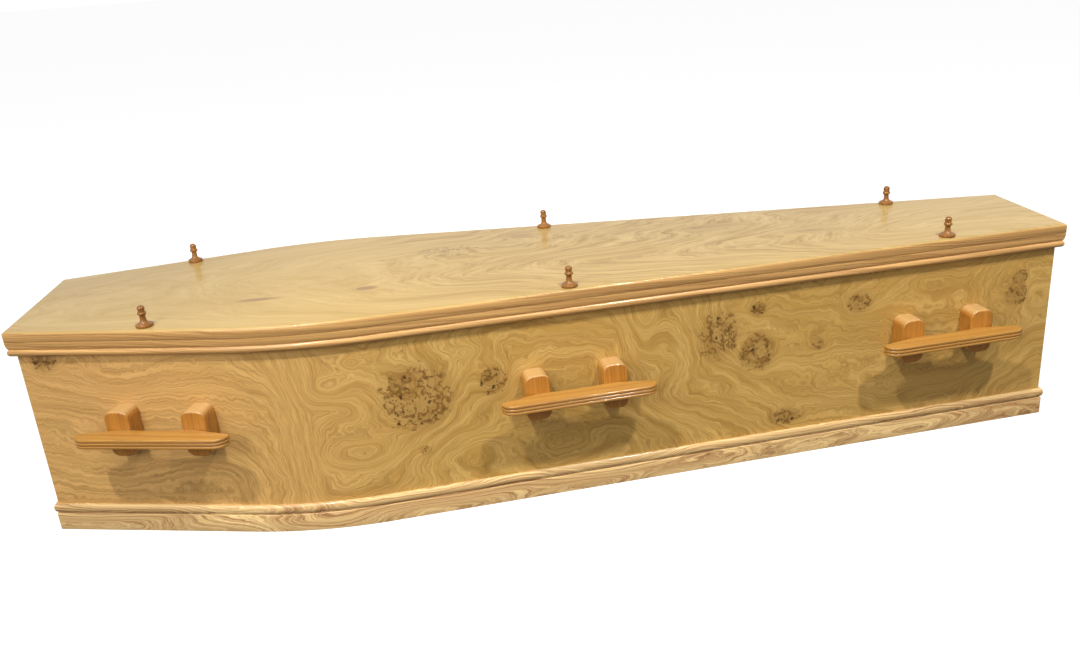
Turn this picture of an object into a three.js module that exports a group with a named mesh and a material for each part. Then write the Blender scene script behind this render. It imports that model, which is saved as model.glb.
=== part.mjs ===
// A British-style wooden coffin in varnished oak: a tapered box whose one-piece sides are bent
// at the shoulder, a flat lid that lifts off, mouldings round the lid and the base, three
// wooden bar handles on each side and six turned finials on the lid.
// Millimetres, +Z up. The head end is at -X, the foot end at +X, and the front side at -Y.
// The origin is on the underside, in the middle of the plan.

import * as THREE from 'three';

// The gap that two pieces keep where they meet
const fitGap = 0.3;

// Plan of the box, measured over its side boards and end boards
const boxLength = 1880;
const headWidth = 288;
const footWidth = 233;
// Where the two straight parts of a side would meet if the bend were sharp
const shoulderWidth = 524;
const shoulderStation = 481;
const bendRadius = 720;
const bendSteps = 10;

// Boards
const boardThickness = 18;
const sideHeight = 370;
const baseThickness = 18;
const lidThickness = 18;
const lidOverhang = 12;
const lidArrisRadius = 5;

// Moulding under the lid's overhang: a round that carries the lid's edge down to a bead
const lidMouldingHeight = 27;
const lidMouldingClearance = 1;
const lidBeadRadius = 6.6;
const lidBeadReach = 11.8;
const lidRoundDepth = 3.4;

// Moulding round the base: a flat below a groove and a half-round bead
const baseFlatHeight = 33.4;
const baseFlatThickness = 5;
const baseGrooveHeight = 2.6;
const baseGrooveDepth = 2;
const baseBeadHeight = 16.4;
const baseBeadReach = 7.2;

// Handles: a reeded bar across the fronts of two blocks
const handleHeadInset = 241;
const handleMiddleStation = 945;
const handleFootInset = 233;
const handleBarLevel = 209;
const barLength = 275;
const barThickness = 17.4;
const barReach = 76;
const barTipReach = 53;
const barTipSetback = 22;
const barScoop = 2;
const barReeds = 3;
const reedDepth = 1.6;
const blockSpacing = 138.5;
const blockWidth = 45;
const blockHeight = 84;
const blockDepth = 37;
const blockCornerRadius = 11;
const blockFrontRadius = 3.5;

// Turned finials on the lid
const finialHeadInset = 237;
const finialMiddleStation = 951;
const finialFootInset = 222;
const finialEdgeInset = 19;
const finialHeight = 37;
const finialFootRadius = 14.2;
const finialFootHeight = 5;
const finialNeckRadius = 4.8;
const finialCollarRadius = 7.6;
const finialCapRadius = 6.4;
const finialSides = 16;

// Levels worked out from the sizes above
const lidUnderside = sideHeight + fitGap;
const lidTop = lidUnderside + lidThickness;

// Half widths of the plan, and how far the two straight parts of a side turn from the X axis
const headHalf = headWidth / 2;
const footHalf = footWidth / 2;
const shoulderHalf = shoulderWidth / 2;
const headTurn = Math.atan2(shoulderHalf - headHalf, shoulderStation);
const footTurn = Math.atan2(shoulderHalf - footHalf, boxLength - shoulderStation);

const panelOak = { color: 0xb88c49, roughness: 0.35 };
const lidOak = { color: 0xe1c691, roughness: 0.3 };
const mouldingOak = { color: 0xd5aa6d, roughness: 0.35 };
const handleOak = { color: 0xc4893f, roughness: 0.35 };
const finialOak = { color: 0xaa733c, roughness: 0.4 };
const boardOak = { color: 0xc9a468, roughness: 0.6 };

const coffin = new THREE.Group();
coffin.position.x = -boxLength / 2;

// Adds a geometry to a parent as a named mesh with its own wood finish
function addPiece(parent, name, geometry, finish) {
  const material = new THREE.MeshStandardMaterial({ ...finish, metalness: 0 });
  const mesh = new THREE.Mesh(geometry, material);
  mesh.name = name;
  parent.add(mesh);
  return mesh;
}

function signedArea(points) {
  return THREE.ShapeUtils.area(points);
}

// Six times the volume that the triangles enclose, positive where they face out
function enclosedVolume(vertices, triangles) {
  const [a, b, c] = [new THREE.Vector3(), new THREE.Vector3(), new THREE.Vector3()];
  let sum = 0;
  for (let i = 0; i < triangles.length; i += 3) {
    a.fromArray(vertices, 3 * triangles[i]);
    b.fromArray(vertices, 3 * triangles[i + 1]);
    c.fromArray(vertices, 3 * triangles[i + 2]);
    sum += a.dot(b.cross(c));
  }
  return sum;
}

function toGeometry(vertices, triangles) {
  const geometry = new THREE.BufferGeometry();
  geometry.setAttribute('position', new THREE.BufferAttribute(new Float32Array(vertices), 3));
  geometry.setIndex(triangles);
  return geometry;
}

// A closed solid through rings of [x, y, z] points that all have the same count. The flat
// outline has one 2-D point for each point of a ring, and gives the triangles of the two ends.
function skin(rings, outline) {
  const count = outline.length;
  const vertices = rings.flat(2);
  const triangles = [];
  for (let i = 0; i + 1 < rings.length; i += 1) {
    for (let j = 0; j < count; j += 1) {
      const k = (j + 1) % count;
      const [a, b] = [i * count + j, i * count + k];
      triangles.push(a, b, b + count, a, b + count, a + count);
    }
  }
  const last = (rings.length - 1) * count;
  const outlineSign = Math.sign(signedArea(outline));
  for (const face of THREE.ShapeUtils.triangulateShape(outline, [])) {
    const sign = Math.sign(signedArea(face.map((index) => outline[index])));
    const [p, q, r] = sign === outlineSign ? face : [face[0], face[2], face[1]];
    triangles.push(r, q, p, last + p, last + q, last + r);
  }
  if (enclosedVolume(vertices, triangles) < 0) triangles.reverse();
  return toGeometry(vertices, triangles);
}

// Points of an arc about a centre, from one angle to another in degrees
function arc(centreX, centreY, radiusX, radiusY, from, to, steps) {
  const points = [];
  for (let i = 0; i <= steps; i += 1) {
    const angle = THREE.MathUtils.degToRad(from + ((to - from) * i) / steps);
    points.push([centreX + radiusX * Math.cos(angle), centreY + radiusY * Math.sin(angle)]);
  }
  return points;
}

// Stations along the back side of the box from head to foot. A station is a point on the
// outer face and the vector that one millimetre of offset moves it by.
function bendStations() {
  const tangent = bendRadius * Math.tan((headTurn + footTurn) / 2);
  const startX = shoulderStation - tangent * Math.cos(headTurn);
  const startY = shoulderHalf - tangent * Math.sin(headTurn);
  const centreX = startX + bendRadius * Math.sin(headTurn);
  const centreY = startY - bendRadius * Math.cos(headTurn);
  const stations = [];
  for (let i = 0; i <= bendSteps; i += 1) {
    const turn = headTurn - ((headTurn + footTurn) * i) / bendSteps;
    const out = [-Math.sin(turn), Math.cos(turn)];
    stations.push({ at: [centreX + bendRadius * out[0], centreY + bendRadius * out[1]], out });
  }
  return stations;
}

// A side's stations with its two ends cut off by the end planes of the box
function squareStations() {
  const head = { at: [0, headHalf], out: [0, 1 / Math.cos(headTurn)] };
  const foot = { at: [boxLength, footHalf], out: [0, 1 / Math.cos(footTurn)] };
  return [head, ...bendStations(), foot];
}

// How far one millimetre of offset moves a mitred corner in Y
const headMitre = (1 - Math.sin(headTurn)) / Math.cos(headTurn);
const footMitre = (1 - Math.sin(footTurn)) / Math.cos(footTurn);

// A side's stations with mitred ends, each drawn back along the side
function mitreStations(drawBack) {
  const headX = drawBack * Math.cos(headTurn);
  const headY = headHalf + drawBack * Math.sin(headTurn);
  const footX = boxLength - drawBack * Math.cos(footTurn);
  const footY = footHalf + drawBack * Math.sin(footTurn);
  const head = { at: [headX, headY], out: [-1, headMitre] };
  const foot = { at: [footX, footY], out: [1, footMitre] };
  return [head, ...bendStations(), foot];
}

// The two stations of a straight piece across the head end or the foot end
function endStations(end, drawBack) {
  const [x, half, mitre, outX] = end === 'head'
    ? [0, headHalf, headMitre, -1]
    : [boxLength, footHalf, footMitre, 1];
  return [1, -1].map((side) => ({ at: [x, side * (half - drawBack)], out: [outX, side * mitre] }));
}

function mirrored(stations) {
  return stations.map(({ at, out }) => ({ at: [at[0], -at[1]], out: [out[0], -out[1]] }));
}

function offsetPoint({ at, out }, offset) {
  return [at[0] + out[0] * offset, at[1] + out[1] * offset];
}

// Carries a profile of [offset, height] points along stations
function carry(profile, stations) {
  const rings = stations.map((station) =>
    profile.map(([offset, height]) => [...offsetPoint(station, offset), height]));
  return skin(rings, profile.map(([offset, height]) => new THREE.Vector2(offset, height)));
}

// A plate with the outline of the whole plan, through [offset, height] pairs
function plate(levels) {
  const around = [...mitreStations(0), ...mirrored(mitreStations(0)).reverse()];
  const rings = levels.map(([offset, height]) =>
    around.map((station) => [...offsetPoint(station, offset), height]));
  const outline = rings[0].map(([x, y]) => new THREE.Vector2(x, y));
  return skin(rings, outline);
}

function rectangle(low, high, bottom, top) {
  return [[low, bottom], [high, bottom], [high, top], [low, top]];
}

// The box: base board, two bent side boards, head board and foot board
function addBox() {
  const sideProfile = rectangle(-boardThickness, 0, 0, sideHeight);
  const back = squareStations();
  const inside = -boardThickness - fitGap;
  addPiece(coffin, 'base_board', plate([[inside, 0], [inside, baseThickness]]), boardOak);
  addPiece(coffin, 'side_board_back', carry(sideProfile, back), panelOak);
  addPiece(coffin, 'side_board_front', carry(sideProfile, mirrored(back)), panelOak);
  addPiece(coffin, 'head_board', endBoard('head'), panelOak);
  addPiece(coffin, 'foot_board', endBoard('foot'), panelOak);
}

// An end board stands between the side boards, so its two ends follow their inner faces
function endBoard(end) {
  const [x, inward, half, turn] = end === 'head'
    ? [0, 1, headHalf, headTurn]
    : [boxLength, -1, footHalf, footTurn];
  const reach = (depth) =>
    half + depth * Math.tan(turn) - (boardThickness + fitGap) / Math.cos(turn);
  const [outer, inner] = [reach(0), reach(boardThickness)];
  const innerX = x + inward * boardThickness;
  const outline = [[x, outer], [x, -outer], [innerX, -inner], [innerX, inner]];
  const rings = [0, sideHeight].map((height) => outline.map(([px, py]) => [px, py, height]));
  return skin(rings, outline.map(([px, py]) => new THREE.Vector2(px, py)));
}

// Puts a profile round the outside of the box as four mitred pieces
function addMouldings(name, profile, finish) {
  const drawBack = fitGap / Math.SQRT2;
  const back = mitreStations(drawBack);
  addPiece(coffin, `${name}_back`, carry(profile, back), finish);
  addPiece(coffin, `${name}_front`, carry(profile, mirrored(back)), finish);
  addPiece(coffin, `${name}_head`, carry(profile, endStations('head', drawBack)), finish);
  addPiece(coffin, `${name}_foot`, carry(profile, endStations('foot', drawBack)), finish);
}

// Base moulding, from its foot up: flat, groove, bead
function baseMouldingProfile() {
  const grooveTop = baseFlatHeight + baseGrooveHeight;
  const grooveReach = baseFlatThickness - baseGrooveDepth;
  const beadMiddle = grooveTop + baseBeadHeight / 2;
  const beadDepth = baseBeadReach - grooveReach;
  return [
    [fitGap, 0],
    [baseFlatThickness, 0],
    [baseFlatThickness, baseFlatHeight],
    [grooveReach, baseFlatHeight + baseGrooveHeight / 2],
    ...arc(grooveReach, beadMiddle, beadDepth, baseBeadHeight / 2, -90, 90, 6),
    [fitGap, grooveTop + baseBeadHeight],
  ];
}

// Lid moulding, from its foot up: half-round bead, then a round that swells to the lid's edge
function lidMouldingProfile() {
  const bottom = sideHeight - lidMouldingHeight;
  const beadTop = bottom + 2 * lidBeadRadius;
  const beadCentre = lidBeadReach - lidBeadRadius;
  const roundCentre = lidOverhang - lidRoundDepth;
  return [
    [lidMouldingClearance, bottom],
    ...arc(beadCentre, bottom + lidBeadRadius, lidBeadRadius, lidBeadRadius, -90, 60, 5),
    ...arc(roundCentre, sideHeight, lidRoundDepth, sideHeight - beadTop, -75, 0, 3),
    [lidMouldingClearance, sideHeight],
  ];
}

// The flat lid: the board with its rounded top edge, and the mouldings under its overhang
function addLid() {
  const rounded = arc(lidOverhang - lidArrisRadius, lidTop - lidArrisRadius,
    lidArrisRadius, lidArrisRadius, 0, 90, 3);
  addPiece(coffin, 'lid_board', plate([[lidOverhang, lidUnderside], ...rounded]), lidOak);
  addMouldings('lid_moulding', lidMouldingProfile(), mouldingOak);
}

// The outer face of a straight part of a side, on the back, at a distance from the head end
function panelAt(x) {
  if (x < shoulderStation) return { y: headHalf + x * Math.tan(headTurn), turn: headTurn };
  return { y: footHalf + (boxLength - x) * Math.tan(footTurn), turn: -footTurn };
}

// A frame on a side: X along the side, Y straight out of it, Z up
function sideFrame(side, x) {
  const { y, turn } = panelAt(x);
  const frame = new THREE.Group();
  const back = side === 'back';
  frame.position.set(x, back ? y : -y, 0);
  frame.rotation.z = back ? turn : Math.PI - turn;
  coffin.add(frame);
  return frame;
}

// A rectangle with round corners about the origin, drawn in by an inset
function roundedRectangle(width, height, radius, inset) {
  const corner = Math.max(radius - inset, radius / 4);
  const [x, y] = [width / 2 - inset - corner, height / 2 - inset - corner];
  return [[x, y, 0], [-x, y, 90], [-x, -y, 180], [x, -y, 270]].flatMap(([cx, cy, from]) =>
    arc(cx, cy, corner, corner, from, from + 90, 4));
}

// A handle block: an upright with round corners and eased front edges. Its back stands one gap
// off the side.
function blockGeometry() {
  const levels = [[fitGap, 0], ...arc(blockDepth - blockFrontRadius, 0, blockFrontRadius,
    blockFrontRadius, 90, 0, 3).map(([reach, y]) => [reach, blockFrontRadius - y])];
  const rings = levels.map(([reach, inset]) =>
    roundedRectangle(blockWidth, blockHeight, blockCornerRadius, inset)
      .map(([x, z]) => [x, reach, z]));
  return skin(rings, rings[0].map(([x, , z]) => new THREE.Vector2(x, z)));
}

// One half of the bar's outline in plan, from the middle of its back to the middle of its
// front: [along, reach, reeded], reeded being 1 where the reeds run round the edge.
function halfBarOutline() {
  const back = blockDepth + fitGap;
  const inner = (blockSpacing - blockWidth) / 2;
  const middle = blockSpacing / 2;
  const tip = barLength / 2;
  const taper = (share) => [
    THREE.MathUtils.lerp(middle, tip, share),
    THREE.MathUtils.lerp(back, barTipReach, share),
    0,
  ];
  const front = arc(tip - barTipSetback, barTipReach, barTipSetback, barReach - barTipReach,
    0, 90, 4).map(([along, reach]) => [along, reach, 1]);
  return [
    [0.45 * inner, back + barScoop, 0],
    [0.8 * inner, back + 0.7 * barScoop, 0],
    [inner, back, 0],
    taper(0),
    taper(0.5),
    ...front,
  ];
}

// The bar is stacked upwards from outlines that the reeds draw in at the front and the tips
function barGeometry() {
  const half = halfBarOutline();
  const around = [...half, ...half.map(([along, ...rest]) => [-along, ...rest]).reverse()];
  const outline = around.map(([along, reach]) => new THREE.Vector2(along, reach));
  const reedHeight = barThickness / barReeds;
  const rings = [];
  for (let reed = 0; reed < barReeds; reed += 1) {
    for (const [share, depth] of [[0, reedDepth], [0.3, 0], [0.7, 0]]) {
      rings.push([(reed + share) * reedHeight, depth]);
    }
  }
  rings.push([barThickness, reedDepth]);
  return skin(rings.map(([height, depth]) => around.map(([along, reach, reeded]) => {
    const drawnIn = depth * reeded;
    const tipward = THREE.MathUtils.clamp(
      (Math.abs(along) - barLength / 2 + barTipSetback) / barTipSetback, 0, 1);
    const frontward = Math.sqrt(1 - tipward ** 2);
    return [
      along - Math.sign(along) * drawnIn * tipward,
      reach - drawnIn * frontward,
      height - barThickness / 2,
    ];
  })), outline);
}

// Three handles along each side
function addHandles() {
  const footX = boxLength - handleFootInset;
  const stations = { head: handleHeadInset, middle: handleMiddleStation, foot: footX };
  for (const side of ['front', 'back']) {
    for (const [place, x] of Object.entries(stations)) {
      const frame = sideFrame(side, x);
      const bar = addPiece(frame, `handle_bar_${side}_${place}`, barGeometry(), handleOak);
      bar.position.z = handleBarLevel;
      for (const [name, along] of [['headward', -1], ['footward', 1]]) {
        const direction = side === 'front' ? -along : along;
        const block = addPiece(frame, `handle_block_${side}_${place}_${name}`,
          blockGeometry(), handleOak);
        block.position.set((direction * blockSpacing) / 2, 0, handleBarLevel);
      }
    }
  }
}

// A turned finial: foot disc, waisted bell, slim neck, collar and domed cap
function finialGeometry() {
  const bell = finialFootHeight + 0.4 * (finialCollarLevel() - finialFootHeight);
  const collar = finialCollarLevel();
  const profile = [
    [0, 0],
    [finialFootRadius, 0],
    [finialFootRadius, finialFootHeight],
    [0.78 * finialFootRadius, finialFootHeight + 1.2],
    [1.35 * finialNeckRadius, bell],
    [finialNeckRadius, bell + 3],
    [finialNeckRadius, collar - 2],
    [finialCollarRadius, collar],
    [finialCollarRadius, collar + 5],
    [finialCapRadius, collar + 7],
    [finialCapRadius, finialHeight - 3],
    [0.62 * finialCapRadius, finialHeight - 0.6],
    [0, finialHeight],
  ].map(([radius, height]) => new THREE.Vector2(radius, height));
  const turned = new THREE.LatheGeometry(profile, finialSides);
  turned.rotateX(Math.PI / 2);
  return turned;
}

function finialCollarLevel() {
  return 0.6 * finialHeight;
}

// Finials stand in pairs near the long edges of the lid
function addFinials() {
  const footX = boxLength - finialFootInset;
  const stations = { head: finialHeadInset, middle: finialMiddleStation, foot: footX };
  for (const [side, sign] of [['front', -1], ['back', 1]]) {
    for (const [place, x] of Object.entries(stations)) {
      const { y } = panelAt(x);
      const finial = addPiece(coffin, `finial_${side}_${place}`, finialGeometry(), finialOak);
      finial.position.set(x, sign * (y + lidOverhang - finialEdgeInset), lidTop + fitGap);
    }
  }
}

addBox();
addMouldings('base_moulding', baseMouldingProfile(), mouldingOak);
addLid();
addHandles();
addFinials();

export default coffin;
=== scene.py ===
# %% [markdown]
# A wooden coffin in varnished oak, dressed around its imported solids. The frame comes first: every
# piece made below is in metres, in the frame's own axes, and stands where its solid stands. +X runs
# from the head end to the foot end, +Z is up, and the front side faces -Y.

# %% Load the fixed frame
import math

import bpy
import numpy as np
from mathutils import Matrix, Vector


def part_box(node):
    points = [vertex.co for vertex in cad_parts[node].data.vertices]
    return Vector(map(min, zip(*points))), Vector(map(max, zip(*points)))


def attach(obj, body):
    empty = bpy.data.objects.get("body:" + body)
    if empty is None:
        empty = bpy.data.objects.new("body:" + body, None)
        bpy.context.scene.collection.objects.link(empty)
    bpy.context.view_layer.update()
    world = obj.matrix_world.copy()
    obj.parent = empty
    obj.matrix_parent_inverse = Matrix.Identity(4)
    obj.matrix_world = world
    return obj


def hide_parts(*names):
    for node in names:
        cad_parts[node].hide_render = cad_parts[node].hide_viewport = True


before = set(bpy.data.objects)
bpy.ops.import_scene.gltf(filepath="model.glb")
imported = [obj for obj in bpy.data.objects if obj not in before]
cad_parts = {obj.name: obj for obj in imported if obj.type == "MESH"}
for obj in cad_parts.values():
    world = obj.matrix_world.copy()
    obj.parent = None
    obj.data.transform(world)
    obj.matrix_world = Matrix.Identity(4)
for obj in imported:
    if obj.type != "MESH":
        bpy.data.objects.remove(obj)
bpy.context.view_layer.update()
print("solids in the frame:", len(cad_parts))

# %% Sizes that the pieces share, in metres
BOX_LENGTH = 1.880
HEAD_HALF, SHOULDER_HALF, FOOT_HALF = 0.144, 0.262, 0.1165
SHOULDER_STATION = 0.481
BEND_RADIUS = 0.720
BOARD_THICKNESS = 0.018
# The gap that two pieces keep where they meet
FIT_GAP = 0.0003
SIDE_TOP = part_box("side_board_front")[1].z
LID_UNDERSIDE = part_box("lid_board")[0].z
LID_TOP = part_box("lid_board")[1].z
LID_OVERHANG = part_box("lid_board")[1].x - BOX_LENGTH / 2
HEAD_X = -BOX_LENGTH / 2
HEAD_TURN = math.atan2(SHOULDER_HALF - HEAD_HALF, SHOULDER_STATION)
FOOT_TURN = math.atan2(SHOULDER_HALF - FOOT_HALF, BOX_LENGTH - SHOULDER_STATION)
print("lid top", round(LID_TOP, 4), "overhang", round(LID_OVERHANG, 4))

# %% [markdown]
# Nearly every piece of a coffin is a strip: a profile that runs along an edge. So one helper turns
# a grid of points, rings of equal count one after another, into a closed mesh. It closes the two
# ends with flat faces, turns the mesh the right way out by the sign of its volume, and keeps with
# each point a `grain` vector, which is where that point lay in the board it was cut from. Solid
# wood looks right only when its figure runs through it, so materials read `grain`, not a map.

# %% Mesh from rings of points
def signed_volume(points, quads):
    """Sum over faces of the first corner dotted with the cross product of the next two, halves
    of each quad taken in turn. Its sign is positive where the faces look outwards."""
    a, b, c, d = (points[quads[:, k]] for k in range(4))
    return float(np.sum(a * np.cross(b, c)) + np.sum(a * np.cross(c, d)))


def ring_mesh(name, rings, grain, sharp_degrees=32.0):
    """Joins point j of ring i to its neighbours j+1 and i+1 as quads, wrapping round each ring,
    and closes the first and last ring with one flat face each. Edges that turn by more than
    sharp_degrees stay sharp, and the rest are shaded smooth."""
    count, around = rings.shape[:2]
    points = rings.reshape(-1, 3)
    i, j = np.meshgrid(np.arange(count - 1), np.arange(around), indexing="ij")
    k = (j + 1) % around
    this_ring, next_ring = i * around, (i + 1) * around
    quads = np.stack([this_ring + j, this_ring + k, next_ring + k, next_ring + j], -1)
    quads = quads.reshape(-1, 4)
    first = np.arange(around)[::-1]
    last = np.arange(around) + (count - 1) * around
    if signed_volume(points, quads) < 0:
        quads, first, last = quads[:, ::-1], first[::-1], last[::-1]
    mesh = bpy.data.meshes.new(name)
    mesh.from_pydata(points.tolist(), [], quads.tolist() + [first.tolist(), last.tolist()])
    mesh.update()
    vectors = mesh.attributes.new("grain", "FLOAT_VECTOR", "POINT")
    vectors.data.foreach_set("vector", grain.reshape(-1).astype(np.float32))
    mesh.polygons.foreach_set("use_smooth", np.ones(len(mesh.polygons), dtype=bool))
    mesh.set_sharp_from_angle(angle=math.radians(sharp_degrees))
    piece = bpy.data.objects.new(name, mesh)
    bpy.context.collection.objects.link(piece)
    return piece


def stand_for(piece, node, material):
    """The piece takes its CAD solid's place, its body and its finish."""
    piece.data.materials.append(material)
    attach(piece, "root")
    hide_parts(node)
    return piece


def arc(centre, radius, start, stop, steps):
    """Points at centre + radius * (cos, sin) of an angle that goes from start to stop degrees."""
    angle = np.radians(np.linspace(start, stop, steps + 1))
    return np.stack([centre[0] + radius[0] * np.cos(angle),
                     centre[1] + radius[1] * np.sin(angle)], 1)


print("points in a quarter circle of 8 steps:", len(arc((0, 0), (1, 1), 0, 90, 8)))

# %% [markdown]
# The plan of the box is two straight runs joined by one large bend at the shoulder. A station is a
# point of the outer face with the vector that a metre of offset moves it by. On the straight runs
# and the bend that vector is the outward normal. At a mitred corner it is longer, so that two
# mouldings of the same profile meet on one plane.

# %% Stations along a side
BEND_STEPS = 64
# The back board is turned end for end, and its leaf starts this much further along the sheet
BACK_LEAF_START = 0.35


def bend_stations():
    """A circle of BEND_RADIUS tangent to both straight runs: the heading turns evenly from
    HEAD_TURN down to -FOOT_TURN, and each point is the centre plus the radius times the normal."""
    tangent = BEND_RADIUS * math.tan((HEAD_TURN + FOOT_TURN) / 2)
    start = np.array([HEAD_X + SHOULDER_STATION - tangent * math.cos(HEAD_TURN),
                      SHOULDER_HALF - tangent * math.sin(HEAD_TURN)])
    centre = start + BEND_RADIUS * np.array([math.sin(HEAD_TURN), -math.cos(HEAD_TURN)])
    heading = np.linspace(HEAD_TURN, -FOOT_TURN, BEND_STEPS + 1)
    out = np.stack([-np.sin(heading), np.cos(heading)], 1)
    return centre + BEND_RADIUS * out, out


def side_stations(ends, draw_back=0.0):
    """The bend with a station added at each end of the side, square or mitred. A square end's
    vector is (0, 1 / cos turn), and a mitred one's is (1, (1 - sin turn) / cos turn)."""
    at, out = bend_stations()
    head_run = np.array([math.cos(HEAD_TURN), math.sin(HEAD_TURN)])
    foot_run = np.array([-math.cos(FOOT_TURN), math.sin(FOOT_TURN)])
    head = np.array([HEAD_X, HEAD_HALF]) + draw_back * head_run
    foot = np.array([-HEAD_X, FOOT_HALF]) + draw_back * foot_run
    if ends == "mitred":
        head_out = [-1.0, (1 - math.sin(HEAD_TURN)) / math.cos(HEAD_TURN)]
        foot_out = [1.0, (1 - math.sin(FOOT_TURN)) / math.cos(FOOT_TURN)]
    else:
        head_out = [0.0, 1 / math.cos(HEAD_TURN)]
        foot_out = [0.0, 1 / math.cos(FOOT_TURN)]
    return np.vstack([head, at, foot]), np.vstack([head_out, out, foot_out])


def end_stations(end, draw_back):
    """The two mitred corners of the head end or the foot end, with the same mitre vector."""
    x, half, turn, face = ((HEAD_X, HEAD_HALF, HEAD_TURN, -1.0) if end == "head"
                           else (-HEAD_X, FOOT_HALF, FOOT_TURN, 1.0))
    mitre = (1 - math.sin(turn)) / math.cos(turn)
    at = np.array([[x, half - draw_back], [x, draw_back - half]])
    return at, np.array([[face, mitre], [face, -mitre]])


def mirrored(stations):
    """The same stations on the front side: Y changes sign."""
    return tuple(part * np.array([1.0, -1.0]) for part in stations)


def run_along(at):
    """How far each station lies from the first, measured along the stations."""
    steps = np.linalg.norm(np.diff(at, axis=0), axis=1)
    return np.concatenate([[0.0], np.cumsum(steps)])


def swept(profile, at, out, run):
    """A profile of (offset, height) points at every station: the station's point plus its outward
    vector times the offset. Grain is (distance run, offset, height)."""
    plan = at[:, None, :] + out[:, None, :] * profile[None, :, :1]
    shape = plan.shape[:2] + (1,)
    offset, height = (np.broadcast_to(profile[None, :, k:k + 1], shape) for k in (0, 1))
    run = np.broadcast_to(run[:, None, None], shape)
    return np.concatenate([plan, height], -1), np.concatenate([run, offset, height], -1)


def carried(name, profile, stations, turned=False):
    """The profile at each station is one ring of the mesh."""
    at, out = stations
    run = run_along(at)
    if turned:
        run = run[-1] - run + BACK_LEAF_START
    return ring_mesh(name, *swept(profile, at, out, run))


print("stations along a side:", len(side_stations("square")[0]))

# %% [markdown]
# Materials. The finish on the real coffin is a clear gloss varnish over three kinds of oak: burr
# veneer on the sides, quieter veneer on the lid, and solid oak in the mouldings, handles and
# finials. The varnish is the shader's coat, and the wood below it is colour, roughness and a
# little bump. Small helpers make the node trees read like formulas.

# %% Node helpers
def feed(tree, socket, value):
    """Links an output, or sets a plain value."""
    if isinstance(value, bpy.types.NodeSocket):
        tree.links.new(value, socket)
    else:
        socket.default_value = value


def feed_all(tree, node, **values):
    """Feeds a node's inputs by their names, with underscores for spaces."""
    for title, value in values.items():
        feed(tree, node.inputs[title.replace("_", " ")], value)


def formula(tree, operation, *values):
    """One sum on plain numbers: the operation's name, then its values in order."""
    node = tree.nodes.new("ShaderNodeMath")
    node.operation = operation
    for socket, value in zip(node.inputs, values):
        feed(tree, socket, value)
    return node.outputs[0]


def times(tree, first, second):
    """first * second."""
    return formula(tree, "MULTIPLY", first, second)


def less(tree, first, second):
    """first - second."""
    return formula(tree, "SUBTRACT", first, second)


def add_all(tree, values):
    """The first value plus every other one."""
    total = values[0]
    for value in values[1:]:
        total = formula(tree, "ADD", total, value)
    return total


def vector_formula(tree, operation, *values):
    """One sum on vectors, part by part. A dot product gives a number."""
    node = tree.nodes.new("ShaderNodeVectorMath")
    node.operation = operation
    for socket, value in zip(node.inputs, values):
        feed(tree, socket, value)
    return node.outputs["Value" if operation == "DOT_PRODUCT" else "Vector"]


def noise(tree, vector, scale=1.0, detail=2.0, roughness=0.5):
    """Smooth random heights between 0 and 1 over a vector."""
    node = tree.nodes.new("ShaderNodeTexNoise")
    feed_all(tree, node, Vector=vector, Scale=scale, Detail=detail, Roughness=roughness)
    return node.outputs["Fac"]


def stretched_noise(tree, place, rates, detail):
    """Noise at place * rates: each rate is about how many times a metre it changes that way."""
    return noise(tree, vector_formula(tree, "MULTIPLY", place, rates), detail=detail)


def noise_colour(tree, vector, scale):
    """Three noises at once, less a half, to shake a place with."""
    node = tree.nodes.new("ShaderNodeTexNoise")
    feed_all(tree, node, Vector=vector, Scale=scale)
    return vector_formula(tree, "SUBTRACT", node.outputs["Color"], (0.5, 0.5, 0.5))


def spread(tree, value, low, high, to_low=0.0, to_high=1.0):
    """Carries low..high to to_low..to_high with soft ends, and holds it there beyond."""
    node = tree.nodes.new("ShaderNodeMapRange")
    node.interpolation_type = "SMOOTHSTEP"
    for socket, number in zip(node.inputs, (value, low, high, to_low, to_high)):
        feed(tree, socket, number)
    return node.outputs["Result"]


def blend_colour(tree, share, first, second):
    """first * (1 - share) + second * share, on colours."""
    node = tree.nodes.new("ShaderNodeMix")
    node.data_type = "RGBA"
    feed(tree, node.inputs[0], share)
    for socket, value in ((node.inputs[6], first), (node.inputs[7], second)):
        feed(tree, socket, value)
    return node.outputs[2]


def linear(red, green, blue):
    """An sRGB colour from 0 to 255 as the linear numbers that a shader takes."""
    channel = np.array([red, green, blue]) / 255.0
    bent = np.where(channel <= 0.04045, channel / 12.92, ((channel + 0.055) / 1.055) ** 2.4)
    return (*bent.tolist(), 1.0)


def new_group(name, inputs, outputs):
    """A shader group with named sockets; returns the tree, its inputs and the output node."""
    tree = bpy.data.node_groups.new(name, "ShaderNodeTree")
    for title, kind in inputs:
        tree.interface.new_socket(name=title, in_out="INPUT", socket_type=f"NodeSocket{kind}")
    for title, kind in outputs:
        tree.interface.new_socket(name=title, in_out="OUTPUT", socket_type=f"NodeSocket{kind}")
    return tree, tree.nodes.new("NodeGroupInput").outputs, tree.nodes.new("NodeGroupOutput").inputs


def use_group(tree, group, **values):
    """Places a group and feeds it."""
    node = tree.nodes.new("ShaderNodeGroup")
    node.node_tree = group
    feed_all(tree, node, **values)
    return node.outputs


print("white in linear numbers:", linear(255, 255, 255))

# %% [markdown]
# Veneer figure is close to a contour map. If a number rises across the sheet, the grain runs where
# it stays the same, like heights on a map. A burr or a swirl is then simply a hill in that number:
# the lines part, run round it and close again. Real fibres are short, though, so the lines are
# noise that changes fast with the number and slowly with the place, and they fade along their
# length. One group makes a hill, one makes the fibres, and one scatters the dark pips of a burr.

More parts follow.
